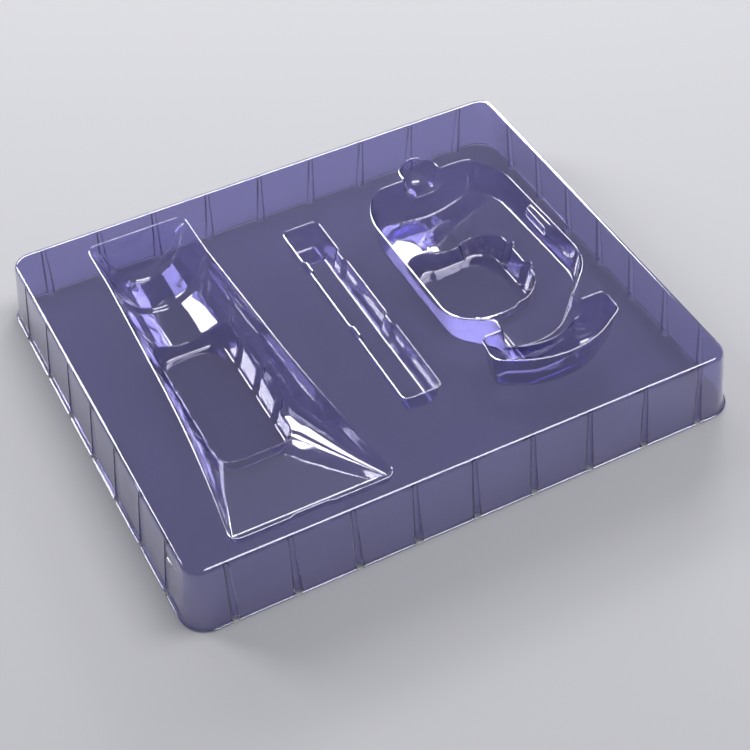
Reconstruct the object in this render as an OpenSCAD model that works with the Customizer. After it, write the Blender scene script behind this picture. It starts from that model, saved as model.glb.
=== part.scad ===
// Clear thermoformed insert tray: one vacuum-formed sheet with a flat deck, a fluted skirt and
// three hanging cavities for a squeeze tube, a pen-shaped applicator and a hand-held device.
// X runs along the front edge, Y towards the back, Z up. The origin is the middle of the footprint.

/* [Sheet] */
// Thickness of the formed sheet
sheet_t = 0.6; // [0.4:0.1:0.9]
// Draft of the cavity walls, in degrees from upright
wall_draft = 8.5; // [6:0.5:11]
// Radius where the deck turns down into a cavity
mouth_r = 1.2; // [1:0.1:2]

/* [Deck and skirt] */
// Length of the deck from left to right
deck_l = 275; // [272:1:300]
// Width of the deck from front to back
deck_w = 229; // [226:1:250]
// Height of the deck above the table
tray_h = 35; // [33:1:40]
// Corner radius of the deck outline
deck_r = 9; // [5:1:20]
// Radius of the edge between the deck and the skirt
rim_r = 2.4; // [1.2:0.2:3]
// Draft of the skirt, in degrees from upright
skirt_draft = 5.5; // [3:0.5:9]
// Width of the trimmed lip round the foot of the skirt
lip_w = 1.3; // [1:0.1:3]

/* [Skirt flutes] */
// Spacing of the stiffening flutes along each side
flute_pitch = 30; // [24:1:32]
// Number of flutes on each long side
flutes_long = 9; // [3:2:9]
// Number of flutes on each short side
flutes_short = 7; // [3:2:7]
// Radius of a flute at the foot of the skirt
flute_foot_r = 1.8; // [1.3:0.1:2.5]
// Radius of a flute at the deck
flute_top_r = 0.9; // [0.7:0.1:1.1]

/* [Tube cavity] */
// Middle of the tube, from the left edge of the deck
tube_left = 63; // [58:0.5:66]
// Gap between the tube's cap end and the back edge of the deck
tube_back = 12.5; // [8:0.5:14]
// Length of the tube cavity
tube_l = 205.5; // [200:0.5:208]
// Width of the tube cavity at its cap
tube_w = 51.6; // [48:0.2:54]
// Depth of the tube cavity below the deck
tube_depth = 29; // [26:0.5:30]
// Length of the cap seat, from its far wall
cap_l = 29; // [25:1:32]
// Diameter of the cap seat
cap_d = 46.6; // [44:0.2:47.6]
// Width of the flat crimped end of the tube
crimp_w = 79; // [72:1:84]
// Depth of the cavity at the crimped end
crimp_depth = 6; // [4:0.5:9]

/* [Tube foot pocket] */
// Width of the tube's foot pocket at the table
tube_foot_w = 34.4; // [30:0.4:38]
// Length of the tube's foot pocket at the table
tube_foot_l = 84; // [76:0.5:88]
// Distance from the cavity's back end to the foot pocket
tube_foot_back = 59.5; // [56:0.5:62]
// Corner radius of the tube's foot pocket
tube_foot_r = 8; // [5:0.5:12]
// Draft of the foot pockets' walls, in degrees from upright
foot_draft = 12; // [8:0.5:14]
// Radius of the upright stiffening grooves in the foot pockets' walls
groove_r = 2.4; // [1.6:0.1:2.8]
// Spacing of the grooves along the tube's foot pocket
tube_groove_pitch = 21.5; // [16:0.5:24]

/* [Applicator cavity] */
// Middle of the applicator channel, from the left edge of the deck
pen_left = 137.8; // [132:0.1:143]
// Gap between the channel and the back edge of the deck
pen_back = 49.5; // [40:0.5:60]
// Length of the applicator channel
pen_l = 131; // [110:1:140]
// Width of the applicator channel
pen_w = 18.6; // [16:0.2:22]
// Depth of the applicator channel
pen_depth = 12.5; // [10:0.5:15]
// Extra depth of the applicator's head seat
pen_head_drop = 1.5; // [0.8:0.1:3]
// Length of the head seat
pen_head_l = 14; // [10:1:18]
// How far the gripping bumps reach into the channel
pen_grip = 1.4; // [0.8:0.1:2]
// Length of each gripping bump
pen_grip_l = 10; // [6:1:14]

/* [Device cavity] */
// Middle of the device, from the right edge of the deck
device_right = 62.8; // [60:0.2:66]
// Gap between the device recess and the back edge of the deck
device_back = 43; // [36:0.5:44]
// Width of the device recess
recess_w = 79.4; // [74:0.2:84]
// Length of the device recess up to the dividing ridge
recess_l = 126.5; // [119:0.5:129]
// Depth of the recess along its middle
recess_depth = 25.8; // [23:0.2:28]
// Depth of the recess floor at its left wall
recess_left_depth = 18.8; // [15:0.2:22]
// Depth of the recess floor at its right wall
recess_right_depth = 16; // [14:0.5:22]
// Width of the way through between recess and handle seat
neck_w = 43.5; // [36:0.5:48]
// Depth of the ridge between recess and handle seat
ridge_depth = 10; // [7:0.5:13]
// Width of the handle seat
handle_w = 69; // [62:0.5:74]
// Reach of the handle seat from its back edge to its front edge
handle_l = 25; // [22:0.2:29]
// Depth of the handle seat
handle_depth = 23.5; // [18:0.5:27]
// How far the holding bump reaches in from the right wall
bump_reach = 3.6; // [2:0.2:5]
// Length of the holding bump
bump_l = 22; // [14:1:28]
// Height of the holding bump
bump_h = 9; // [7:0.5:12]

/* [Finger notch] */
// Radius of the finger notch behind the device
notch_r = 10; // [7:0.5:12]
// Depth of the finger notch
notch_depth = 13; // [8:0.5:16]
// How far the notch's middle stands behind the recess
notch_out = 4; // [2:0.5:6]

/* [Device foot pocket] */
// Width of the device's foot pocket at the table
device_foot_w = 48.5; // [40:0.5:52]
// Length of the device's foot pocket at the table
device_foot_l = 48.5; // [40:0.5:52]
// Distance from the recess's back edge to the foot pocket
device_foot_back = 34.5; // [30:0.5:40]
// Corner radius of the device's foot pocket
device_foot_r = 11; // [7:0.5:14]
// Spacing of the grooves along the device's foot pocket
device_groove_pitch = 18; // [14:0.5:20]
// How far the middle strip of the foot pocket stands forward
step_out = 1.6; // [0.8:0.1:2.5]

/* [Hidden] */

clear = [0.72, 0.72, 0.86, 0.55];
chord_error = 0.2;
fine = 0.02;
over = 2;
arc_turn = 45;

deck_left = -deck_l / 2;
deck_right = deck_l / 2;
deck_back = deck_w / 2;

wall_slope = tan(wall_draft);
foot_slope = tan(foot_draft);
skirt_slope = tan(skirt_draft);
lip_bend_r = 0.9 * lip_w;
floor_r = 3;
handle_floor_r = 4;
notch_floor_r = 6;
foot_floor_r = 1.5;
groove_top = 0.6 * tray_h;
round_sides = 12;

// Outline tools
// An outline is a list of corners [x, y, radius], anticlockwise seen from above.

function unit(v) = v / norm(v);
function flat(c) = [c[0], c[1]];
function edge_dir(c, i) = unit(flat(c[(i + 1) % len(c)]) - flat(c[i]));
function outward(d) = [d[1], -d[0]];

// Steps of a corner's arc: few on a small radius, more on a wide sweep
function arc_steps(r, turn) =
    r == 0 ? 0 : max(1, ceil(abs(turn) / (2 * acos(1 - min(chord_error / r, 0.9)))));

// One corner moved out by g, as the points of its arc
function corner(c, i, g) =
    let (
        a = outward(edge_dir(c, (i + len(c) - 1) % len(c))),
        b = outward(edge_dir(c, i)),
        side = cross(a, b) > 0 ? 1 : -1,
        turn = side * acos(min(1, max(-1, a * b))),
        reach = (a + b) / (1 + a * b),
        r = max(c[i][2] + side * g, fine),
        tip = flat(c[i]) + g * reach,
        start = atan2(a[1], a[0]),
        steps = arc_steps(c[i][2], turn)
    )
    steps == 0 ? [tip]
    : [for (k = [0 : steps])
        tip - side * r * reach
            + side * r * [cos(start + turn * k / steps), sin(start + turn * k / steps)]];

// The whole outline moved out by g, at height z
function ring(c, g, z) =
    [for (i = [0 : len(c) - 1], p = corner(c, i, g)) [p[0], p[1], z]];

function moved(c, x, y) = [for (p = c) [p[0] + x, p[1] + y, p[2]]];

// A sharp corner at the share k of the way from corner a to corner b
function between(a, b, k) = concat(flat(a) + k * (flat(b) - flat(a)), 0);

// A closed solid through rings of equal length, listed from bottom to top
module loft(rings) {
    n = len(rings[0]);
    m = len(rings);
    polyhedron(
        points = [for (r = rings) each r],
        faces = concat(
            [[for (i = [0 : n - 1]) i]],
            [[for (i = [n - 1 : -1 : 0]) (m - 1) * n + i]],
            [for (j = [0 : m - 2], i = [0 : n - 1])
                each let (a = j * n + i, b = j * n + (i + 1) % n)
                    [[a, a + n, b + n], [a, b + n, b]]]),
        convexity = 12);
}

// Profiles
// A profile is a list of [outset, depth] from the floor up. g grows the space by the sheet.

function floor_bend(depth, slope, r, g) =
    [for (a = [90 : -arc_turn : 0])
        [-slope * (depth - r) - r + (r + g) * cos(a), depth - r + (r + g) * sin(a)]];

function mouth_bend(slope, g) =
    [for (a = [90 : -arc_turn : 0])
        [mouth_r - (mouth_r - g) * sin(a) - slope * mouth_r * sin(a),
         mouth_r - (mouth_r - g) * cos(a)]];

// Space with drafted walls below an outline, open at the deck with a rounded mouth
module well(c, depth, r, g) {
    profile = concat(
        floor_bend(depth, wall_slope, r, g),
        mouth_bend(wall_slope, g),
        [[mouth_r, -over]]);
    loft([for (p = profile) ring(c, p[0], tray_h - p[1])]);
}

// Pocket that stands on the table, with its outline taken there, up to a height inside the well
module foot_pocket(c, top, g) {
    r = foot_floor_r;
    bend = [for (a = [90 : -arc_turn : 0])
        [foot_slope * r - r + (r + g) * cos(a), sheet_t + r - (r + g) * sin(a)]];
    profile = concat(bend, [[g + foot_slope * top, top]]);
    loft([for (p = profile) ring(c, p[0], p[1])]);
}

// Upright groove in a foot pocket's wall, leaning outward with the wall on that side
module pocket_groove(x, y, side, g) {
    top = groove_top + g;
    hull() {
        translate([x, y, sheet_t - g])
            cylinder(r = groove_r + g, h = fine, $fn = round_sides);
        translate([x + side * foot_slope * top, y, top])
            cylinder(r = groove_r + g, h = fine, $fn = round_sides);
    }
}

// Long space along Y through cross-sections [x, z], closed above the deck
module trough(ys, sections) {
    loft_along = [for (i = [len(ys) - 1 : -1 : 0])
        [for (p = sections[i]) [p[0], ys[i], p[1]]]];
    loft(loft_along);
}

// Half cross-section arcs: flat middle of half-width p, sides curving up to half-width w.
// The arc starts at depth s below the deck, under a straight side of half-width side.
section_steps = 6;

function section(x, w, p, depth, s, side, g) =
    let (
        a = w - p + g,
        d = depth + g,
        first = asin(min(0.9, s / depth)),
        arc = [for (k = [0 : section_steps])
            let (t = first + (90 - first) * k / section_steps) [p + a * cos(t), -d * sin(t)]],
        half = concat([[side + over + mouth_r, over], [side + over + mouth_r, -mouth_r - g],
            [side + g, -mouth_r - g]], arc)
    )
    concat(
        [for (q = half) [x - q[0], tray_h + q[1]]],
        [for (k = [len(half) - 1 : -1 : 0]) [x + half[k][0], tray_h + half[k][1]]]);

// Tube cavity

tube_x = deck_left + tube_left;
tube_end = deck_back - tube_back;
tube_start = tube_end - tube_l;
cap_y = tube_end - cap_l;
body_l = cap_y - tube_start;
shoulder_l = 2;
cap_rise = 1.6;
cap_wall = 6.5;
cap_bend = 3.5;
tube_foot_end = tube_end - tube_foot_back;
tube_foot_start = tube_foot_end - tube_foot_l;
tube_foot_top = tray_h - tube_depth / 2 + 1.5;
crimp_y = tube_start + 5.5;
ramp_l = 14;
ramp_from = tube_foot_start + ramp_l;
panel_from = tube_foot_start + 38;
panel_w = 15;
panel_bow = 1.4;
panel_edge = 2.5;
body_corner_r = 4;
jog_w = 9.3;
jog_in = 1;
lean = 0.008;
// Spacing of the cross-sections where the cavity changes quickly
station = 12;

// The cavity's middle leans a little to the right towards the crimp
function tube_mid(y) = tube_x + lean * max(0, cap_y - y);

// Half-width of the tube at y: a slow taper and then a quicker flare to the crimp
taper = 0.045;
flare_l = 0.585 * body_l;
flare = (crimp_w / 2 - tube_w / 2 - taper * body_l) / pow(flare_l, 2);
function tube_half(y) =
    tube_w / 2 + taper * max(0, cap_y - y) + flare * pow(max(0, tube_start + flare_l - y), 2);

// Half-width of the flat panel that runs down to the crimp
function panel_half(y) =
    y >= panel_from ? 0
    : y >= tube_foot_start
        ? panel_w * pow((panel_from - y) / (panel_from - tube_foot_start), panel_bow)
        : let (u = min(1, (tube_foot_start - y) / (tube_foot_start - crimp_y)))
            panel_w + (crimp_w / 2 - panel_edge - panel_w) * u;

function tube_deep(y) =
    let (u = min(1, max(0, (ramp_from - y) / (ramp_from - crimp_y))))
    tube_depth + (crimp_depth - tube_depth) * u;

module tube_space(g) {
    body_ys = [tube_start - over, crimp_y, crimp_y + station, crimp_y + 2 * station,
        tube_foot_start - station, tube_foot_start, tube_foot_start + ramp_l / 2, ramp_from,
        panel_from - station, panel_from, cap_y - 3 * station, cap_y - shoulder_l];
    sides = [for (u = [0.13, 0.24, 0.37, 0.55, 0.75, 1]) tube_start + u * body_l];
    start_half = tube_half(tube_start);
    start_mid = tube_mid(tube_start);
    outline = concat(
        [[start_mid - start_half, tube_start, body_corner_r],
         [tube_x - jog_w - jog_in, tube_start, 0], [tube_x - jog_w, tube_start + jog_in, 0],
         [tube_x + jog_w, tube_start + jog_in, 0], [tube_x + jog_w + jog_in, tube_start, 0],
         [start_mid + start_half, tube_start, body_corner_r]],
        [for (y = sides) [tube_mid(y) + tube_half(y), y, 0]],
        [[tube_x + tube_w / 2, tube_end, body_corner_r],
         [tube_x - tube_w / 2, tube_end, body_corner_r]],
        [for (k = [len(sides) - 1 : -1 : 0])
            [tube_mid(sides[k]) - tube_half(sides[k]), sides[k], 0]]);
    foot_x = tube_mid((tube_foot_start + tube_foot_end) / 2);
    foot = [
        [foot_x - tube_foot_w / 2, tube_foot_start, tube_foot_r],
        [foot_x + tube_foot_w / 2, tube_foot_start, tube_foot_r],
        [foot_x + tube_foot_w / 2, tube_foot_end, tube_foot_r],
        [foot_x - tube_foot_w / 2, tube_foot_end, tube_foot_r]];
    // The seat's far end is bent up into its wall
    seat_wall_y = tube_end - wall_slope * tube_depth;
    cap_ys = [cap_y, seat_wall_y - cap_bend, seat_wall_y - 0.3 * cap_bend, tube_end + over];
    cap_cuts = [0, 0, 0.3 * cap_bend, cap_bend];
    intersection() {
        well(outline, tray_h + over, floor_r, g);
        trough(
            concat(body_ys, cap_ys),
            concat(
                [for (y = body_ys)
                    section(tube_mid(y), tube_half(y), panel_half(y), tube_deep(y), mouth_r,
                        tube_half(y), g)],
                [for (k = [0 : 3])
                    section(tube_x, cap_d / 2 - cap_cuts[k], 0, tube_depth - cap_rise - cap_cuts[k],
                        cap_wall, tube_w / 2, g)]));
    }
    foot_pocket(foot, tube_foot_top, g);
    for (k = [-1 : 1], side = [-1, 1])
        pocket_groove(
            foot_x + side * tube_foot_w / 2,
            (tube_foot_start + tube_foot_end) / 2 + k * tube_groove_pitch, side, g);
}

// Applicator channel

pen_x = deck_left + pen_left;
pen_end = deck_back - pen_back;
pen_start = pen_end - pen_l;
pen_corner_r = 2.5;
pen_head_y = pen_end - pen_head_l;
// Back ends of the two pairs of gripping bumps, and the slant of their faces
grips = [pen_end - 24, pen_end - 76];
grip_slant = 1;

module pen_space(g) {
    w = pen_w / 2;
    grip_side = [for (y = grips)
        each [[w, y - pen_grip_l, 0], [w - pen_grip, y - pen_grip_l + grip_slant, 0],
            [w - pen_grip, y - grip_slant, 0], [w, y, 0]]];
    // Listed from front to back on the right side, and mirrored for the left
    right = [for (k = [1, 0], j = [0 : 3]) grip_side[4 * k + j]];
    outline = moved(
        concat(
            [[-w, pen_start, pen_corner_r], [w, pen_start, pen_corner_r]],
            right,
            [[w, pen_end, pen_corner_r], [-w, pen_end, pen_corner_r]],
            [for (k = [len(right) - 1 : -1 : 0]) [-right[k][0], right[k][1], right[k][2]]]),
        pen_x, 0);
    ys = [pen_start - over, pen_head_y - grip_slant, pen_head_y, pen_end + over];
    drops = [0, 0, pen_head_drop, pen_head_drop];
    intersection() {
        well(outline, tray_h, floor_r, g);
        trough(ys, [for (d = drops) section(pen_x, w, 0, pen_depth + d, mouth_r, w, g)]);
    }
}

// Device cavity

device_x = deck_right - device_right;
device_y = deck_back - device_back;
half_w = recess_w / 2;
recess_front = device_y - recess_l;
handle_back = recess_front + 5.5;
neck_r = 4;
set_in = 0.35;
neck_spread = 4;
neck_reach = 40;
seat_reach = 14;
floor_bow = 1.5;
notch_lead = 24;
// Corners at the front left and the front right of the recess
left_turn = [-half_w + 0.5, recess_front + 26.5, 16];
right_turn = [half_w, recess_front + 31.5, 25];
neck_left = [-20.8, recess_front + 14, neck_r];
neck_right = [19.5, recess_front + 12, neck_r];

recess_back = [
    [half_w - 1.8, device_y - 19, 30],
    [half_w - 11, device_y, 12],
    [-half_w + 10.5, device_y, 13],
    [-half_w, device_y - 18, 34]];

// Depth of the recess floor, u from the middle
function recess_floor(u) =
    let (side = u < 0 ? recess_left_depth : recess_right_depth)
    recess_depth - (recess_depth - side) * pow(min(1, abs(u) / (half_w - 3)), floor_bow);

module recess_space(g) {
    // Through the neck it reaches an arched ridge
    outline = concat([right_turn], recess_back,
        [left_turn, neck_left, [-21.2, recess_front + 3.1, 1], [0.3, recess_front - 7.8, 31]]);
    xs = [for (k = [-5 : 5]) k * (half_w + 3) / 5];
    floor_line = [for (u = xs) [u, -recess_floor(u) - g]];
    cut = concat([[-half_w - 8, -recess_left_depth - g]], floor_line,
        [[half_w + 8, -recess_right_depth - g], [half_w + 8, over + 1], [-half_w - 8, over + 1]]);
    intersection() {
        well(moved(outline, device_x, 0), tray_h, floor_r, g);
        translate([device_x, device_y + notch_r, tray_h]) rotate([90, 0, 0])
            linear_extrude(recess_l + 2 * notch_r) polygon(cut);
    }
}

// Seat for the curved handle, in front of the ridge
module handle_space(g) {
    outline = [
        [-handle_w / 2 + 1.2, handle_back, 2.5],
        [-handle_w / 2 - 0.5, handle_back - 14, 5],
        [0, handle_back - handle_l - 8.8, 48],
        [handle_w / 2 - 0.3, handle_back - 12.4, 5],
        [handle_w / 2 - 0.6, handle_back, 2.5],
        [17, handle_back, 2],
        [0, recess_front - 5.3, 29],
        [-21, handle_back, 2]];
    well(moved(outline, device_x, 0), handle_depth, handle_floor_r, g);
}

// The way through over the ridge, which opens recess and handle seat into one mouth. Its ends lie
// well inside both, and its side walls start set_in clear of theirs so that no two faces coincide.
module neck_space(g) {
    w = neck_w / 2;
    left = neck_left + [set_in, set_in, 0];
    seat_y = handle_back - set_in;
    outline = [
        between(neck_right, right_turn, 0.3),
        [w + neck_spread, recess_front + neck_reach, 0],
        [-w - neck_spread, recess_front + neck_reach, 0],
        between(left, left_turn, 0.3),
        left,
        [-w, seat_y, 1.5],
        [-w - neck_spread, seat_y, 0],
        [-w - neck_spread / 2, seat_y - seat_reach, 0],
        [w + neck_spread / 2, seat_y - seat_reach, 0],
        [w + neck_spread, seat_y, 0],
        [w, seat_y, 1.5],
        neck_right];
    well(moved(outline, device_x, 0), ridge_depth, 1, g);
}

// Finger notch in the recess's back wall, with its edges rounded into the wall
module notch_space(g) {
    near = device_y - 1.2;
    w = notch_r + 5;
    outline = [
        [-w, near - notch_lead, 0], [w, near - notch_lead, 0], [w, near, 0],
        [notch_r - 0.5, near, 4],
        [notch_r, device_y + notch_out + notch_r, notch_r - 0.1],
        [-notch_r, device_y + notch_out + notch_r, notch_r - 0.1],
        [-notch_r + 0.5, near, 4], [-w, near, 0]];
    well(moved(outline, device_x, 0), notch_depth, notch_floor_r, g);
}

// The pocket reaches further to the left than to the right, by twice foot_shift
foot_shift = 3.9;
device_foot_top = tray_h - recess_depth + 9;
// Ends of the pocket's middle strip, from the middle of the device
step_from = -13.5;
step_to = 5.5;
step_slant = 0.6;

module device_foot(g) {
    back = device_y - device_foot_back;
    front = back - device_foot_l;
    middle = device_x - foot_shift;
    w = device_foot_w / 2;
    step_l = step_from + foot_shift;
    step_r = step_to + foot_shift;
    outline = [
        [-w, front, device_foot_r],
        [step_l, front, 0], [step_l + step_slant, front - step_out, 0],
        [step_r - step_slant, front - step_out, 0], [step_r, front, 0],
        [w, front, device_foot_r],
        [w, back, device_foot_r],
        [step_r, back, 0], [step_r - step_slant, back - step_out, 0],
        [step_l + step_slant, back - step_out, 0], [step_l, back, 0],
        [-w, back, device_foot_r]];
    foot_pocket(moved(outline, middle, 0), device_foot_top, g);
    for (k = [-0.5, 0.5])
        pocket_groove(middle + w, (front + back) / 2 + k * device_groove_pitch, 1, g);
}

// Bump on the recess's right wall that the device snaps under
bump_back = 44.5;
bump_slant = 1.5;

module holding_bump(g) {
    x = device_x + half_w - 1;
    y = device_y - bump_back - bump_l;
    root_h = bump_h + 2 * bump_slant;
    hull() {
        translate([x - bump_reach + g, y + bump_slant + g, tray_h - bump_h + g])
            cube([bump_reach + over, bump_l - 2 * (bump_slant + g), bump_h + 2 * over]);
        translate([x + over, y + g, tray_h - root_h + g])
            cube([bump_reach, bump_l - 2 * g, root_h + 2 * over]);
    }
}

module device_space(g) {
    difference() {
        union() {
            recess_space(g);
            neck_space(g);
            handle_space(g);
            notch_space(g);
            device_foot(g);
        }
        intersection() {
            holding_bump(g);
            translate([0, 0, -over]) cube([deck_l, deck_w, tray_h + over - g]);
        }
    }
}

// Skirt

foot_out = skirt_slope * tray_h;

deck_outline = [
    [deck_left, -deck_back, deck_r],
    [deck_right, -deck_back, deck_r],
    [deck_right, deck_back, deck_r],
    [deck_left, deck_back, deck_r]];

function rim_bend(g) =
    [for (a = [0 : arc_turn : 90])
        [-rim_r + (rim_r - g) * cos(a) + skirt_slope * rim_r * cos(a),
         tray_h - rim_r + (rim_r - g) * sin(a)]];

function lip_bend(g) =
    [for (a = [0 : arc_turn : 90])
        [foot_out - g + (lip_bend_r + g) * (1 - sin(a)),
         sheet_t - g + (lip_bend_r + g) * (1 - cos(a))]];

// Outer face of the sheet without its cavities
module outer_block() {
    profile = concat(
        [[foot_out + lip_w, 0], [foot_out + lip_w, sheet_t]], lip_bend(0), rim_bend(0));
    loft([for (p = profile) ring(deck_outline, p[0], p[1])]);
}

// Inner face of the sheet, open at the foot
module inner_block() {
    bend = lip_bend(sheet_t);
    profile = concat([[bend[0][0], -over]], bend, rim_bend(sheet_t));
    loft([for (p = profile) ring(deck_outline, p[0], p[1])]);
}

// Upright groove in the skirt, up to the edge of the deck
flute_out = 0.3;
flute_drop = 0.8;

module flute(g) {
    hull() {
        translate([foot_out + flute_out, 0, -over])
            cylinder(r = flute_foot_r + g, h = fine, $fn = round_sides);
        translate([0, 0, tray_h - flute_drop + g])
            cylinder(r = flute_top_r + g, h = fine, $fn = round_sides);
    }
}

module flutes(g) {
    for (side = [0, 180], k = [0 : flutes_long - 1])
        rotate([0, 0, side - 90])
            translate([deck_back, (k - (flutes_long - 1) / 2) * flute_pitch, 0]) flute(g);
    for (side = [0, 180], k = [0 : flutes_short - 1])
        rotate([0, 0, side])
            translate([deck_right, (k - (flutes_short - 1) / 2) * flute_pitch, 0]) flute(g);
}

module spaces(g) {
    tube_space(g);
    pen_space(g);
    device_space(g);
    flutes(g);
}

module tray() {
    color(clear) difference() {
        outer_block();
        spaces(0);
        difference() {
            inner_block();
            spaces(sheet_t);
        }
    }
}

tray();
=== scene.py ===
import math

import bmesh
import bpy
from mathutils import Matrix, Vector


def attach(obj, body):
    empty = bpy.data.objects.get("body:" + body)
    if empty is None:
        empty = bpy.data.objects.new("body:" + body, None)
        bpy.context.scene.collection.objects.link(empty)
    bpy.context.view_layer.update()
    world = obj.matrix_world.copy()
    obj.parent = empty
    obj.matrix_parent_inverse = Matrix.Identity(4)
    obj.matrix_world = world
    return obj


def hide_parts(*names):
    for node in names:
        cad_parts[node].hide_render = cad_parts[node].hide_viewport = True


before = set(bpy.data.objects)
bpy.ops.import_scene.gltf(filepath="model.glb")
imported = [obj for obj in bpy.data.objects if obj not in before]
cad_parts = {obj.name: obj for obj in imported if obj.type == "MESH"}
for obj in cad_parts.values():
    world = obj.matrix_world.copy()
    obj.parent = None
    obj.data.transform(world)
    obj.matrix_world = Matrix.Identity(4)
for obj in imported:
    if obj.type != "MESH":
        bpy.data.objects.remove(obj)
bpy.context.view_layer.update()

bl_info = {
    "name": "Thermoformed tray",
    "version": (1, 0, 0),
    "blender": (4, 5, 0),
    "location": "3D View > Sidebar > Tray",
    "description": "Forms a clear insert tray over the packed part and sets its stage",
    "category": "Add Mesh",
}

MM = 0.001
OVER = 2.0
LEAST_R = 0.02


def length(name, mm, description):
    """A length property, with its default given in millimetres."""
    return bpy.props.FloatProperty(
        name=name, description=description, default=mm * MM, min=0.0, unit="LENGTH", precision=4)


def slant(name, degrees, description):
    """An angle property, with its default given in degrees."""
    return bpy.props.FloatProperty(
        name=name, description=description, default=math.radians(degrees), subtype="ANGLE")


def tint(name, colour, description):
    """A colour property."""
    return bpy.props.FloatVectorProperty(
        name=name, description=description, default=colour, size=3, subtype="COLOR", min=0.0, max=1.0)


class TraySheet(bpy.types.PropertyGroup):
    thickness: length("Sheet", 0.6, "Thickness of the formed sheet")
    wall_draft: slant("Wall draft", 8.5, "Lean of the cavity walls from upright")
    foot_draft: slant("Pocket draft", 12, "Lean of the foot pockets' walls from upright")
    mouth_r: length("Mouth radius", 1.2, "Bend where the deck turns down into a cavity")
    floor_r: length("Floor radius", 3, "Bend between a wall and a floor")
    fineness: length("Fineness", 0.55, "Spacing of the points that the sheet is drawn over")
    softening: bpy.props.IntProperty(
        name="Softening", default=9, min=0, max=40,
        description="How often the warm sheet's creases are evened out")
    triangles: bpy.props.IntProperty(
        name="Triangles", default=93000, min=20000, max=98000,
        description="Triangles in one face of the sheet")


class TrayDeck(bpy.types.PropertyGroup):
    long_side: length("Length", 275, "Deck from left to right")
    wide_side: length("Width", 229, "Deck from front to back")
    height: length("Height", 35, "Deck above the table")
    corner_r: length("Corner radius", 9, "Corners of the deck outline")
    rim_r: length("Rim radius", 2.4, "Bend between deck and skirt")
    skirt_draft: slant("Skirt draft", 5.5, "Lean of the skirt from upright")
    lip: length("Lip", 1.3, "Width of the trimmed lip round the foot")
    flute_pitch: length("Flute spacing", 30, "Spacing of the upright flutes")
    flutes_long: bpy.props.IntProperty(
        name="Flutes, long side", default=9, min=1, max=9, description="Flutes on each long side")
    flutes_short: bpy.props.IntProperty(
        name="Flutes, short side", default=7, min=1, max=7, description="Flutes on each short side")
    flute_foot_r: length("Flute at the foot", 1.8, "Radius of a flute at the foot")
    flute_top_r: length("Flute at the deck", 0.9, "Radius of a flute at the deck")


class TrayTube(bpy.types.PropertyGroup):
    left: length("From the left", 63, "Middle of the tube from the left edge of the deck")
    back: length("From the back", 12.5, "Gap between the cap end and the back edge of the deck")
    long_side: length("Length", 205.5, "Length of the tube cavity")
    wide_side: length("Width", 51.6, "Width of the tube cavity at its cap")
    depth: length("Depth", 29, "Depth of the tube cavity")
    cap_l: length("Cap seat", 29, "Length of the cap seat")
    cap_d: length("Cap", 46.6, "Diameter of the cap seat")
    crimp_w: length("Crimp width", 79, "Width of the flat crimped end")
    crimp_depth: length("Crimp depth", 6, "Depth of the cavity at the crimped end")
    foot_w: length("Pocket width", 34.4, "Width of the foot pocket at the table")
    foot_l: length("Pocket length", 84, "Length of the foot pocket at the table")
    foot_back: length("Pocket place", 59.5, "Distance from the cavity's back end to the pocket")
    foot_r: length("Pocket corners", 8, "Corner radius of the foot pocket")
    groove_r: length("Grooves", 2.4, "Radius of the upright grooves in the pocket walls")
    groove_pitch: length("Groove spacing", 21.5, "Spacing of the grooves along the pocket")


class TrayApplicator(bpy.types.PropertyGroup):
    left: length("From the left", 137.8, "Middle of the channel from the left edge of the deck")
    back: length("From the back", 49.5, "Gap between the channel and the back edge of the deck")
    long_side: length("Length", 131, "Length of the channel")
    wide_side: length("Width", 18.6, "Width of the channel")
    depth: length("Depth", 12.5, "Depth of the channel")
    head_drop: length("Head drop", 1.5, "Extra depth of the head seat")
    head_l: length("Head seat", 14, "Length of the head seat")
    grip: length("Grip", 1.4, "Reach of the gripping bumps")
    grip_l: length("Grip length", 10, "Length of each gripping bump")


class TrayDevice(bpy.types.PropertyGroup):
    right: length("From the right", 62.8, "Middle of the device from the right edge of the deck")
    back: length("From the back", 43, "Gap between the recess and the back edge of the deck")
    wide_side: length("Width", 79.4, "Width of the device recess")
    long_side: length("Length", 126.5, "Length of the recess up to the dividing ridge")
    depth: length("Depth", 25.8, "Depth of the recess along its middle")
    left_depth: length("Depth, left", 18.8, "Depth of the recess floor at its left wall")
    right_depth: length("Depth, right", 16, "Depth of the recess floor at its right wall")
    neck_w: length("Neck", 43.5, "Width of the way between recess and handle seat")
    ridge_depth: length("Ridge", 10, "Depth of the ridge between recess and handle seat")
    handle_w: length("Handle width", 69, "Width of the handle seat")
    handle_l: length("Handle reach", 25, "Reach of the handle seat from back to front")
    handle_depth: length("Handle depth", 23.5, "Depth of the handle seat")
    bump_reach: length("Bump reach", 3.6, "Reach of the holding bump from the right wall")
    bump_l: length("Bump length", 22, "Length of the holding bump")
    bump_h: length("Bump height", 9, "Height of the holding bump")
    notch_r: length("Notch", 10, "Radius of the finger notch")
    notch_depth: length("Notch depth", 13, "Depth of the finger notch")
    notch_out: length("Notch place", 4, "How far the notch's middle stands behind the recess")
    foot_w: length("Pocket width", 48.5, "Width of the foot pocket at the table")
    foot_l: length("Pocket length", 48.5, "Length of the foot pocket at the table")
    foot_back: length("Pocket place", 34.5, "Distance from the recess's back edge to the pocket")
    foot_r: length("Pocket corners", 11, "Corner radius of the foot pocket")
    groove_pitch: length("Groove spacing", 18, "Spacing of the grooves along the pocket")
    step_out: length("Step", 1.6, "How far the pocket's middle strip stands forward")


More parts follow.
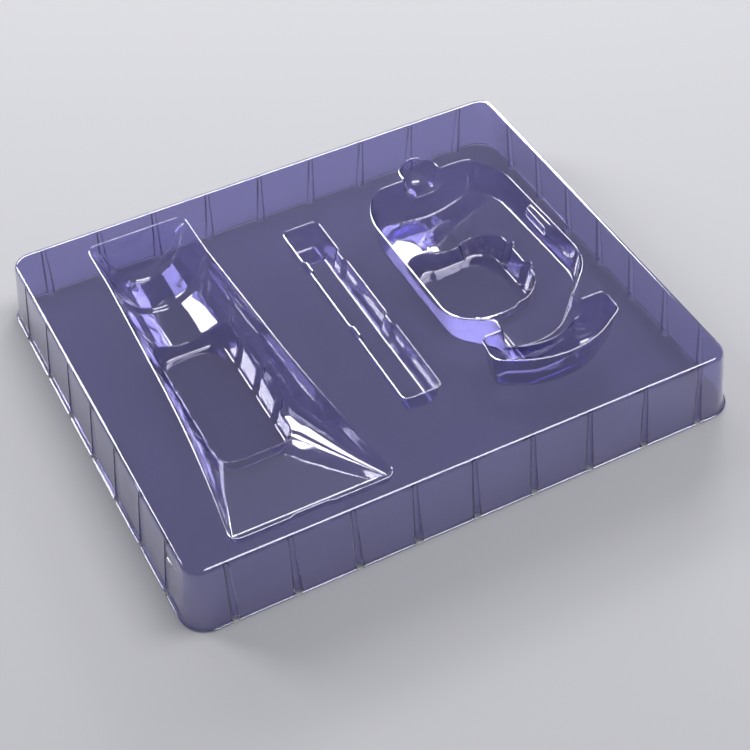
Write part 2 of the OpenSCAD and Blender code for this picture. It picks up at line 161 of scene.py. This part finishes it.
class TrayLook(bpy.types.PropertyGroup):
    plastic: tint("Plastic", (0.54, 0.52, 0.79), "Colour that the clear sheet lets through")
    floor: tint("Floor", (0.50, 0.50, 0.52), "Colour of the plain floor")
    lens: bpy.props.FloatProperty(
        name="Lens", default=81.68, min=10.0, description="Focal length on a 36 mm sensor")
    azimuth: slant("Camera azimuth", 25.746, "Turn of the camera from the front")
    elevation: slant("Camera elevation", 45.846, "Height of the camera above the horizon")
    roll: slant("Camera roll", -2.217, "Turn of the camera about its line of sight")
    place: bpy.props.FloatVectorProperty(
        name="Camera place", default=(-0.25296, -0.54117, 0.60069), size=3,
        subtype="TRANSLATION", unit="LENGTH", description="Place of the camera")


GROUPS = {
    "tray_sheet": TraySheet,
    "tray_deck": TrayDeck,
    "tray_tube": TrayTube,
    "tray_applicator": TrayApplicator,
    "tray_device": TrayDevice,
    "tray_look": TrayLook,
}


def sizes(group):
    """The lengths of a property group in millimetres and its other values as they are."""
    found = type("Sizes", (), {})()
    for name, prop in group.bl_rna.properties.items():
        if name in ("rna_type", "name"):
            continue
        value = getattr(group, name)
        is_length = getattr(prop, "unit", "NONE") == "LENGTH" and not getattr(prop, "is_array", False)
        setattr(found, name, value / MM if is_length else value)
    return found


# Outlines: lists of corners (x, y, radius), anticlockwise seen from above, in millimetres


def rounded_corner(corners, i, outset):
    """The points of corner i's arc when its outline is moved out by outset."""
    here = Vector(corners[i][:2])
    into = (here - Vector(corners[i - 1][:2])).normalized()
    away = (Vector(corners[(i + 1) % len(corners)][:2]) - here).normalized()
    a, b = Vector((into.y, -into.x)), Vector((away.y, -away.x))
    side = 1 if a.x * b.y - a.y * b.x > 0 else -1
    turn = side * math.acos(max(-1.0, min(1.0, a.dot(b))))
    reach = (a + b) / (1 + a.dot(b))
    radius = corners[i][2]
    tip = here + outset * reach
    if radius == 0:
        return [tip]
    steps = max(2, math.ceil(abs(turn) / math.radians(7)))
    r = max(radius + side * outset, LEAST_R)
    start = math.atan2(a.y, a.x)
    return [
        tip - side * r * reach
        + side * r * Vector((math.cos(start + turn * k / steps), math.sin(start + turn * k / steps)))
        for k in range(steps + 1)]


def ring(corners, outset, z):
    """The whole outline moved out by outset, at height z."""
    return [
        Vector((p.x, p.y, z))
        for i in range(len(corners)) for p in rounded_corner(corners, i, outset)]


def moved(corners, x, y=0.0):
    return [(p[0] + x, p[1] + y, p[2]) for p in corners]


def between(a, b, share):
    return (a[0] + share * (b[0] - a[0]), a[1] + share * (b[1] - a[1]), 0)


# Solids


def solid_from(bm):
    """An object at the origin from a closed bmesh in millimetres."""
    bmesh.ops.scale(bm, vec=(MM, MM, MM), verts=bm.verts)
    bmesh.ops.recalc_face_normals(bm, faces=bm.faces)
    mesh = bpy.data.meshes.new("forming_block")
    bm.to_mesh(mesh)
    bm.free()
    piece = bpy.data.objects.new("forming_block", mesh)
    bpy.context.scene.collection.objects.link(piece)
    return piece


def draw_loft(bm, rings):
    """A closed solid drawn through rings of equal length, by extruding the first one's face."""
    cap = bm.faces.new([bm.verts.new(p) for p in rings[0]])
    foot = list(cap.edges)
    for points in rings[1:]:
        grown = bmesh.ops.extrude_face_region(bm, geom=[cap])
        bmesh.ops.delete(bm, geom=[cap], context="FACES_ONLY")
        cap = next(e for e in grown["geom"] if isinstance(e, bmesh.types.BMFace))
        for vert, point in zip([loop.vert for loop in cap.loops], points):
            vert.co = point
    bmesh.ops.holes_fill(bm, edges=foot, sides=0)


def loft(rings):
    bm = bmesh.new()
    draw_loft(bm, rings)
    return solid_from(bm)


def combined(first, second, operation):
    """first with second joined, cut away or kept in common; second is used up."""
    step = first.modifiers.new("combine", "BOOLEAN")
    step.operation, step.solver, step.object = operation, "MANIFOLD", second
    settle(first)
    spare = second.data
    bpy.data.objects.remove(second)
    bpy.data.meshes.remove(spare)
    return first


def settle(piece):
    """Makes a piece's modifiers final."""
    bpy.context.view_layer.update()
    seen = piece.evaluated_get(bpy.context.evaluated_depsgraph_get())
    mesh = bpy.data.meshes.new_from_object(seen)
    spare = piece.data
    piece.modifiers.clear()
    piece.data = mesh
    bpy.data.meshes.remove(spare)


def well(sheet, deck, corners, depth, floor_r, steps=8):
    """Space with drafted walls below an outline, open at the deck with a rounded mouth."""
    slope = math.tan(sheet.wall_draft)
    quarter = [math.pi / 2 * k / steps for k in range(steps, -1, -1)]
    profile = [
        (-slope * (depth - floor_r) - floor_r + floor_r * math.cos(a),
         depth - floor_r + floor_r * math.sin(a)) for a in quarter]
    profile += [
        (sheet.mouth_r - sheet.mouth_r * math.sin(a) - slope * sheet.mouth_r * math.sin(a),
         sheet.mouth_r - sheet.mouth_r * math.cos(a)) for a in quarter]
    profile += [(sheet.mouth_r, -OVER)]
    return loft([ring(corners, outset, deck.height - down) for outset, down in profile])


def foot_pocket(sheet, corners, top, floor_r=1.5, steps=6):
    """Pocket that stands on the table, with its outline taken there."""
    slope = math.tan(sheet.foot_draft)
    profile = [
        (slope * floor_r - floor_r + floor_r * math.cos(a), sheet.thickness + floor_r - floor_r * math.sin(a))
        for a in [math.pi / 2 * k / steps for k in range(steps, -1, -1)]]
    profile += [(slope * top, top)]
    return loft([ring(corners, outset, z) for outset, z in profile])


def leaning_round(bm, foot, foot_r, top, top_r, sides=28):
    """A round rod between two level circles."""
    draw_loft(bm, [
        [Vector((at[0] + r * math.cos(a), at[1] + r * math.sin(a), at[2]))
         for a in [2 * math.pi * k / sides for k in range(sides)]]
        for at, r in ((foot, foot_r), (top, top_r))])


def pocket_groove(sheet, deck, x, y, side, r):
    """Upright groove in a foot pocket's wall, leaning outward with the wall on that side."""
    top = 0.6 * deck.height
    bm = bmesh.new()
    leaning_round(
        bm, (x, y, sheet.thickness), r, (x + side * math.tan(sheet.foot_draft) * top, y, top), r)
    return solid_from(bm)


def section(deck, mouth_r, x, half_w, panel, depth, start, side, steps=36):
    """Cross-section [x, z]: a flat middle with sides that curve up, closed above the deck."""
    first = math.asin(min(0.9, start / depth))
    half = [(side + OVER + mouth_r, OVER), (side + OVER + mouth_r, -mouth_r), (side, -mouth_r)]
    for k in range(steps + 1):
        t = first + (math.pi / 2 - first) * k / steps
        half.append((panel + (half_w - panel) * math.cos(t), -depth * math.sin(t)))
    return (
        [(x - a, deck.height + b) for a, b in half]
        + [(x + a, deck.height + b) for a, b in reversed(half)])


def trough(ys, sections):
    """Long space along Y through cross-sections."""
    return loft([
        [Vector((x, y, z)) for x, z in cut] for y, cut in zip(reversed(ys), reversed(sections))])


def spread(low, high, step):
    """Even places from low to high, both included."""
    count = max(1, math.ceil((high - low) / step))
    return [low + (high - low) * k / count for k in range(count + 1)]


# The three cavities


def tube_space(sheet, deck, tube):
    x = -deck.long_side / 2 + tube.left
    end = deck.wide_side / 2 - tube.back
    start = end - tube.long_side
    cap_y = end - tube.cap_l
    body_l = cap_y - start
    foot_end = end - tube.foot_back
    foot_start = foot_end - tube.foot_l
    crimp_y = start + 5.5
    panel_from = foot_start + 38
    panel_w = 15
    ramp_from = foot_start + 14
    jog_w = 9.3
    corner_r = 4
    slope = math.tan(sheet.wall_draft)
    taper = 0.045
    flare_l = 0.585 * body_l
    flare = (tube.crimp_w / 2 - tube.wide_side / 2 - taper * body_l) / flare_l ** 2

    def middle(y):
        return x + 0.008 * max(0, cap_y - y)

    def half(y):
        return (tube.wide_side / 2 + taper * max(0, cap_y - y)
                + flare * max(0, start + flare_l - y) ** 2)

    def panel(y):
        if y >= panel_from:
            return 0
        if y >= foot_start:
            return panel_w * ((panel_from - y) / (panel_from - foot_start)) ** 1.4
        share = min(1, (foot_start - y) / (foot_start - crimp_y))
        return panel_w + (tube.crimp_w / 2 - 2.5 - panel_w) * share

    def deep(y):
        share = min(1, max(0, (ramp_from - y) / (ramp_from - crimp_y)))
        return tube.depth + (tube.crimp_depth - tube.depth) * share

    sides = spread(start + 0.13 * body_l, start + body_l, 6)
    outline = [
        (middle(start) - half(start), start, corner_r),
        (x - jog_w - 1, start, 0), (x - jog_w, start + 1, 0),
        (x + jog_w, start + 1, 0), (x + jog_w + 1, start, 0),
        (middle(start) + half(start), start, corner_r)]
    outline += [(middle(y) + half(y), y, 0) for y in sides]
    outline += [(x + tube.wide_side / 2, end, corner_r), (x - tube.wide_side / 2, end, corner_r)]
    outline += [(middle(y) - half(y), y, 0) for y in reversed(sides)]
    space = well(sheet, deck, outline, deck.height + OVER, sheet.floor_r)

    ys = [start - OVER] + spread(crimp_y, cap_y - 2, 3)
    cuts = [section(deck, sheet.mouth_r, middle(y), half(y), panel(y), deep(y), sheet.mouth_r, half(y))
            for y in ys]
    # The cap seat's far end is bent up into its wall
    wall_y = end - slope * tube.depth
    bend, rise, wall = 3.5, 1.6, 6.5
    for y, cut in [(cap_y, 0)] + [
            (wall_y - bend + bend * math.sin(a), bend * (1 - math.cos(a)))
            for a in [math.pi / 2 * k / 7 for k in range(8)]] + [(end + OVER, bend)]:
        ys.append(y)
        cuts.append(section(
            deck, sheet.mouth_r, x, tube.cap_d / 2 - cut, 0, tube.depth - rise - cut, wall,
            tube.wide_side / 2))
    space = combined(space, trough(ys, cuts), "INTERSECT")

    foot_x = middle((foot_start + foot_end) / 2)
    a, b = foot_x - tube.foot_w / 2, foot_x + tube.foot_w / 2
    foot = [(a, foot_start, tube.foot_r), (b, foot_start, tube.foot_r),
            (b, foot_end, tube.foot_r), (a, foot_end, tube.foot_r)]
    space = combined(space, foot_pocket(sheet, foot, deck.height - tube.depth / 2 + 1.5), "UNION")
    for k in (-1, 0, 1):
        for side in (-1, 1):
            space = combined(space, pocket_groove(
                sheet, deck, foot_x + side * tube.foot_w / 2,
                (foot_start + foot_end) / 2 + k * tube.groove_pitch, side, tube.groove_r), "UNION")
    return space


def applicator_space(sheet, deck, pen):
    x = -deck.long_side / 2 + pen.left
    end = deck.wide_side / 2 - pen.back
    start = end - pen.long_side
    head_y = end - pen.head_l
    w = pen.wide_side / 2
    right = []
    for y in (end - 76, end - 24):
        right += [(w, y - pen.grip_l, 0.8), (w - pen.grip, y - pen.grip_l + 1, 0.8),
                  (w - pen.grip, y - 1, 0.8), (w, y, 0.8)]
    outline = moved(
        [(-w, start, 2.5), (w, start, 2.5)] + right + [(w, end, 2.5), (-w, end, 2.5)]
        + [(-px, py, r) for px, py, r in reversed(right)], x)
    space = well(sheet, deck, outline, deck.height, sheet.floor_r)
    ys = [start - OVER, head_y - 1, head_y, end + OVER]
    drops = [0, 0, pen.head_drop, pen.head_drop]
    bed = trough(ys, [
        section(deck, sheet.mouth_r, x, w, 0.45 * w, pen.depth + d, sheet.mouth_r, w) for d in drops])
    return combined(space, bed, "INTERSECT")


def device_space(sheet, deck, device):
    x = deck.long_side / 2 - device.right
    back = deck.wide_side / 2 - device.back
    half_w = device.wide_side / 2
    front = back - device.long_side
    handle_back = front + 5.5
    left_turn = (-half_w + 0.5, front + 26.5, 16)
    right_turn = (half_w, front + 31.5, 25)
    neck_left = (-20.8, front + 14, 4)
    neck_right = (19.5, front + 12, 4)
    neck_x = device.neck_w / 2

    # Main recess: drafted walls over a floor that falls to its middle
    outline = [
        right_turn,
        (half_w - 1.8, back - 19, 30), (half_w - 11, back, 12),
        (-half_w + 10.5, back, 13), (-half_w, back - 18, 34),
        left_turn, neck_left, (-21.2, front + 3.1, 1), (0.3, front - 7.8, 31)]
    space = well(sheet, deck, moved(outline, x), deck.height, sheet.floor_r)

    def floor(u):
        side = device.left_depth if u < 0 else device.right_depth
        return device.depth - (device.depth - side) * min(1, abs(u) / (half_w - 3)) ** 1.5

    line = [(u, -floor(u)) for u in spread(-half_w - 3, half_w + 3, 1.5)]
    cut = [(-half_w - 8, -device.left_depth)] + line + [
        (half_w + 8, -device.right_depth), (half_w + 8, OVER + 1), (-half_w - 8, OVER + 1)]
    bed = loft([
        [Vector((x + u, y, deck.height + v)) for u, v in cut]
        for y in (back + device.notch_r, front - device.notch_r)])
    space = combined(space, bed, "INTERSECT")

    # Way through over the ridge
    neck = [
        between(neck_right, right_turn, 0.3), (neck_x + 4, front + 40, 0), (-neck_x - 4, front + 40, 0),
        between(neck_left, left_turn, 0.3), neck_left, (-neck_x, handle_back, 1.5),
        (-neck_x - 4, handle_back, 0), (-neck_x - 2, handle_back - 14, 0),
        (neck_x + 2, handle_back - 14, 0), (neck_x + 4, handle_back, 0), (neck_x, handle_back, 1.5),
        neck_right]
    space = combined(space, well(sheet, deck, moved(neck, x), device.ridge_depth, 1), "UNION")

    # Seat for the curved handle
    w = device.handle_w / 2
    handle = [
        (-w + 1.2, handle_back, 2.5), (-w - 0.5, handle_back - 14, 5),
        (0, handle_back - device.handle_l - 8.8, 48), (w - 0.3, handle_back - 12.4, 5),
        (w - 0.6, handle_back, 2.5), (17, handle_back, 2), (0, front - 5.3, 29),
        (-21, handle_back, 2)]
    seat = well(sheet, deck, moved(handle, x), device.handle_depth, 4)
    # Its floor curves up towards the front
    line = [(y, 0.03 * max(0, handle_back - 14 - y) ** 2 - device.handle_depth)
            for y in spread(handle_back - device.handle_l - 5, handle_back + OVER, 1)]
    cut = [(line[0][0], OVER + 1)] + line + [(line[-1][0], OVER + 1)]
    bed = loft([
        [Vector((x + u, y, deck.height + v)) for y, v in cut] for u in (-w - OVER, w + OVER)])
    space = combined(space, combined(seat, bed, "INTERSECT"), "UNION")

    # Finger notch
    near = back - 1.2
    w = device.notch_r + 5
    far = back + device.notch_out + device.notch_r
    notch = [
        (-w, near - 24, 0), (w, near - 24, 0), (w, near, 0), (device.notch_r - 0.5, near, 4),
        (device.notch_r, far, device.notch_r - 0.1), (-device.notch_r, far, device.notch_r - 0.1),
        (-device.notch_r + 0.5, near, 4), (-w, near, 0)]
    space = combined(space, well(sheet, deck, moved(notch, x), device.notch_depth, 6), "UNION")

    # Foot pocket, with a middle strip that stands forward
    foot_back = back - device.foot_back
    foot_front = foot_back - device.foot_l
    middle = x - 3.9
    w = device.foot_w / 2
    left, right = x - 13.5 - middle, x + 5.5 - middle
    foot = [
        (-w, foot_front, device.foot_r),
        (left, foot_front, 0), (left + 0.6, foot_front - device.step_out, 0),
        (right - 0.6, foot_front - device.step_out, 0), (right, foot_front, 0),
        (w, foot_front, device.foot_r), (w, foot_back, device.foot_r),
        (right, foot_back, 0), (right - 0.6, foot_back - device.step_out, 0),
        (left + 0.6, foot_back - device.step_out, 0), (left, foot_back, 0),
        (-w, foot_back, device.foot_r)]
    pocket = foot_pocket(sheet, moved(foot, middle), deck.height - device.depth + 9)
    space = combined(space, pocket, "UNION")
    for k in (-0.5, 0.5):
        space = combined(space, pocket_groove(
            sheet, deck, middle + w, (foot_front + foot_back) / 2 + k * device.groove_pitch, 1, 2.4),
            "UNION")

    # Bump on the right wall that the device snaps under
    bump_x = x + half_w - 1
    bump_y = back - 44.5 - device.bump_l
    low = deck.height - device.bump_h
    bm = bmesh.new()
    top = deck.height - 1.5
    for x0, x1, y0, y1, z0, z1 in (
            (bump_x - device.bump_reach, bump_x, bump_y + 1.5, bump_y + device.bump_l - 1.5, low, top - 2),
            (bump_x + OVER, bump_x + 2 * OVER, bump_y, bump_y + device.bump_l, low - 3, top)):
        for px in (x0, x1):
            for py in (y0, y1):
                for pz in (z0, z1):
                    bm.verts.new((px, py, pz))
    hull = bmesh.ops.convex_hull(bm, input=bm.verts)
    bmesh.ops.delete(
        bm, geom=list({e for e in hull["geom_interior"] + hull["geom_unused"]}), context="VERTS")
    return combined(space, solid_from(bm), "DIFFERENCE")


# Deck and skirt


def deck_corners(deck):
    x, y = deck.long_side / 2, deck.wide_side / 2
    return [(-x, -y, deck.corner_r), (x, -y, deck.corner_r), (x, y, deck.corner_r), (-x, y, deck.corner_r)]


def outer_block(sheet, deck, apron=6.0, steps=10):
    """Outer face of the sheet without its cavities, with an apron beyond the lip to be trimmed off."""
    slope = math.tan(deck.skirt_draft)
    foot_out = slope * deck.height
    bend_r = 0.9 * deck.lip
    quarter = [math.pi / 2 * k / steps for k in range(steps + 1)]
    profile = [(foot_out + deck.lip + apron, -OVER), (foot_out + deck.lip + apron, sheet.thickness)]
    profile += [
        (foot_out + bend_r * (1 - math.sin(a)), sheet.thickness + bend_r * (1 - math.cos(a)))
        for a in quarter]
    profile += [
        (-deck.rim_r + deck.rim_r * math.cos(a) + slope * deck.rim_r * math.cos(a),
         deck.height - deck.rim_r + deck.rim_r * math.sin(a)) for a in quarter]
    return loft([ring(deck_corners(deck), outset, z) for outset, z in profile])


def foot_reach(deck):
    """How far the trimmed lip stands out from the deck's outline."""
    return math.tan(deck.skirt_draft) * deck.height + deck.lip


def trim_block(deck):
    """Upright block inside which the lip is kept."""
    out = foot_reach(deck)
    return loft([ring(deck_corners(deck), out, z) for z in (-2 * OVER, deck.height + OVER)])


def flutes(deck):
    """All the upright flutes of the skirt."""
    foot_out = math.tan(deck.skirt_draft) * deck.height
    bm = bmesh.new()
    for count, reach, turns in (
            (deck.flutes_long, deck.wide_side / 2, (-90, 90)),
            (deck.flutes_short, deck.long_side / 2, (0, 180))):
        for turn in turns:
            for k in range(count):
                along = (k - (count - 1) / 2) * deck.flute_pitch
                before = set(bm.verts)
                leaning_round(
                    bm, (reach + foot_out + 0.3, along, -OVER), deck.flute_foot_r,
                    (reach, along, deck.height - 0.8), deck.flute_top_r)
                bmesh.ops.rotate(
                    bm, cent=(0, 0, 0), matrix=Matrix.Rotation(math.radians(turn), 3, "Z"),
                    verts=[v for v in bm.verts if v not in before])
    return solid_from(bm)


# Finishes


def plastic_material(look):
    """Clear, glossy, faintly rippled sheet."""
    mat = bpy.data.materials.new("clear_plastic")
    mat.use_nodes = True
    nodes, links = mat.node_tree.nodes, mat.node_tree.links
    body = nodes["Principled BSDF"]
    body.inputs["Base Color"].default_value = (*look.plastic, 1)
    body.inputs["Transmission Weight"].default_value = 1.0
    body.inputs["IOR"].default_value = 1.57
    body.inputs["Coat Weight"].default_value = 1.0
    body.inputs["Coat Roughness"].default_value = 0.03
    body.inputs["Roughness"].default_value = 0.03
    place = nodes.new("ShaderNodeTexCoord")
    ripple = nodes.new("ShaderNodeTexNoise")
    ripple.inputs["Scale"].default_value = 55.0
    ripple.inputs["Detail"].default_value = 2.0
    bump = nodes.new("ShaderNodeBump")
    bump.inputs["Strength"].default_value = 0.06
    bump.inputs["Distance"].default_value = 0.001
    links.new(place.outputs["Object"], ripple.inputs["Vector"])
    links.new(ripple.outputs["Fac"], bump.inputs["Height"])
    links.new(bump.outputs["Normal"], body.inputs["Normal"])
    return mat


def floor_material(look):
    """Plain matt floor."""
    mat = bpy.data.materials.new("pale_floor")
    mat.use_nodes = True
    body = mat.node_tree.nodes["Principled BSDF"]
    body.inputs["Base Color"].default_value = (*look.floor, 1)
    body.inputs["Roughness"].default_value = 0.9
    return mat


class TRAY_OT_sheet(bpy.types.Operator):
    """Forms the clear sheet: deck, skirt and cavities in one piece"""
    bl_idname = "tray.sheet"
    bl_label = "Form the Sheet"

    def execute(self, context):
        scene = context.scene
        sheet, deck = sizes(scene.tray_sheet), sizes(scene.tray_deck)
        piece = outer_block(sheet, deck)
        piece.name = "formed_sheet"
        for space in (
                tube_space(sheet, deck, sizes(scene.tray_tube)),
                applicator_space(sheet, deck, sizes(scene.tray_applicator)),
                device_space(sheet, deck, sizes(scene.tray_device))):
            piece = combined(piece, space, "DIFFERENCE")

        # The warm sheet is drawn over the block with softened creases
        drawn = piece.modifiers.new("draw", "REMESH")
        drawn.mode, drawn.voxel_size, drawn.use_smooth_shade = "VOXEL", sheet.fineness * MM, True
        ease = piece.modifiers.new("ease", "SMOOTH")
        ease.factor, ease.iterations = 0.5, sheet.softening
        settle(piece)
        piece = combined(piece, flutes(deck), "DIFFERENCE")
        piece = combined(piece, trim_block(deck), "INTERSECT")
        bm = bmesh.new()
        bm.from_mesh(piece.data)
        under = (sheet.thickness + 0.05) * MM
        bmesh.ops.bisect_plane(
            bm, geom=[*bm.verts, *bm.edges, *bm.faces], plane_no=(0, 0, 1), clear_inner=True,
            plane_co=(0, 0, (sheet.thickness - 0.05) * MM))
        bmesh.ops.delete(bm, context="FACES", geom=[
            face for face in bm.faces
            if face.normal.z < 0.5 and face.calc_center_median().z < under])
        bmesh.ops.triangulate(bm, faces=bm.faces)
        count = len(bm.faces)
        bm.to_mesh(piece.data)
        bm.free()
        thin = piece.modifiers.new("thin", "DECIMATE")
        thin.ratio = min(1.0, sheet.triangles / count)
        wall = piece.modifiers.new("wall", "SOLIDIFY")
        wall.thickness, wall.offset, wall.use_quality_normals = sheet.thickness * MM, -1, True
        settle(piece)
        # The inner face is kept inside the trimmed foot, where flutes cut the lip
        far_x = (deck.long_side / 2 + foot_reach(deck)) * MM
        far_y = (deck.wide_side / 2 + foot_reach(deck)) * MM
        for vert in piece.data.vertices:
            x, y, z = vert.co
            vert.co = (max(-far_x, min(far_x, x)), max(-far_y, min(far_y, y)), max(0, z))
        piece.data.shade_smooth()
        piece.data.set_sharp_from_angle(angle=math.radians(50))
        piece.data.materials.clear()
        piece.data.materials.append(plastic_material(scene.tray_look))
        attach(piece, "root")
        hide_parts("tray")
        return {"FINISHED"}


class TRAY_OT_stage(bpy.types.Operator):
    """Sets the plain floor, the soft lamps and the camera"""
    bl_idname = "tray.stage"
    bl_label = "Set the Stage"

    def execute(self, context):
        scene, look = context.scene, context.scene.tray_look
        bm = bmesh.new()
        bmesh.ops.create_grid(bm, x_segments=1, y_segments=1, size=4)
        bmesh.ops.translate(bm, vec=(0, 0, -0.0002), verts=bm.verts)
        mesh = bpy.data.meshes.new("floor")
        bm.to_mesh(mesh)
        bm.free()
        floor = bpy.data.objects.new("floor", mesh)
        mesh.materials.append(floor_material(look))
        scene.collection.objects.link(floor)

        # Long soft boxes, placed where the deck does not mirror them but the sheet's bends do
        for name, place, wide, tall, glow in (
                ("lamp_back_right", (1.06, 1.06, 0.53), 0.45, 0.75, 10),
                ("lamp_back", (0.3, 1.36, 0.72), 1.5, 0.18, 10),
                ("lamp_back_left", (-0.86, 1.1, 0.8), 0.5, 0.8, 9),
                ("lamp_above", (0.38, -0.1, 1.15), 0.45, 0.8, 7)):
            light = bpy.data.lights.new(name, "AREA")
            light.shape, light.size, light.size_y = "RECTANGLE", wide, tall
            light.energy = glow * math.pi * wide * tall
            lamp = bpy.data.objects.new(name, light)
            lamp.location = place
            lamp.rotation_euler = (-Vector(place)).to_track_quat("-Z", "Y").to_euler()
            scene.collection.objects.link(lamp)

        world = bpy.data.worlds.new("studio")
        world.use_nodes = True
        back = world.node_tree.nodes["Background"]
        back.inputs["Color"].default_value = (0.9, 0.92, 1.0, 1)
        back.inputs["Strength"].default_value = 0.3
        scene.world = world

        lens = bpy.data.cameras.new("camera")
        lens.lens, lens.sensor_width = look.lens, 36
        camera = bpy.data.objects.new("camera", lens)
        turn, rise = look.azimuth, look.elevation
        sight = Vector((math.sin(turn) * math.cos(rise), math.cos(turn) * math.cos(rise), -math.sin(rise)))
        flat_right = sight.cross(Vector((0, 0, 1))).normalized()
        flat_up = flat_right.cross(sight)
        right = math.cos(look.roll) * flat_right + math.sin(look.roll) * flat_up
        up = math.cos(look.roll) * flat_up - math.sin(look.roll) * flat_right
        camera.matrix_world = Matrix.Translation(look.place) @ Matrix((right, up, -sight)).transposed().to_4x4()
        scene.collection.objects.link(camera)
        scene.camera = camera
        scene.view_settings.view_transform = "Standard"
        return {"FINISHED"}


class TRAY_PT_panel(bpy.types.Panel):
    """Sizes, colours and steps of the tray"""
    bl_idname = "TRAY_PT_panel"
    bl_label = "Thermoformed Tray"
    bl_space_type = "VIEW_3D"
    bl_region_type = "UI"
    bl_category = "Tray"

    def draw(self, context):
        for name, group in GROUPS.items():
            box = self.layout.box()
            box.label(text=group.bl_rna.name)
            for prop in group.__annotations__:
                box.prop(getattr(context.scene, name), prop)
        for operator in (TRAY_OT_sheet, TRAY_OT_stage):
            self.layout.operator(operator.bl_idname)


CLASSES = (*GROUPS.values(), TRAY_OT_sheet, TRAY_OT_stage, TRAY_PT_panel)


def register():
    for cls in CLASSES:
        bpy.utils.register_class(cls)
    for name, group in GROUPS.items():
        setattr(bpy.types.Scene, name, bpy.props.PointerProperty(type=group))


def unregister():
    for name in GROUPS:
        delattr(bpy.types.Scene, name)
    for cls in reversed(CLASSES):
        bpy.utils.unregister_class(cls)


def main():
    register()
    bpy.ops.tray.sheet()
    bpy.ops.tray.stage()


if __name__ == "__main__":
    main()
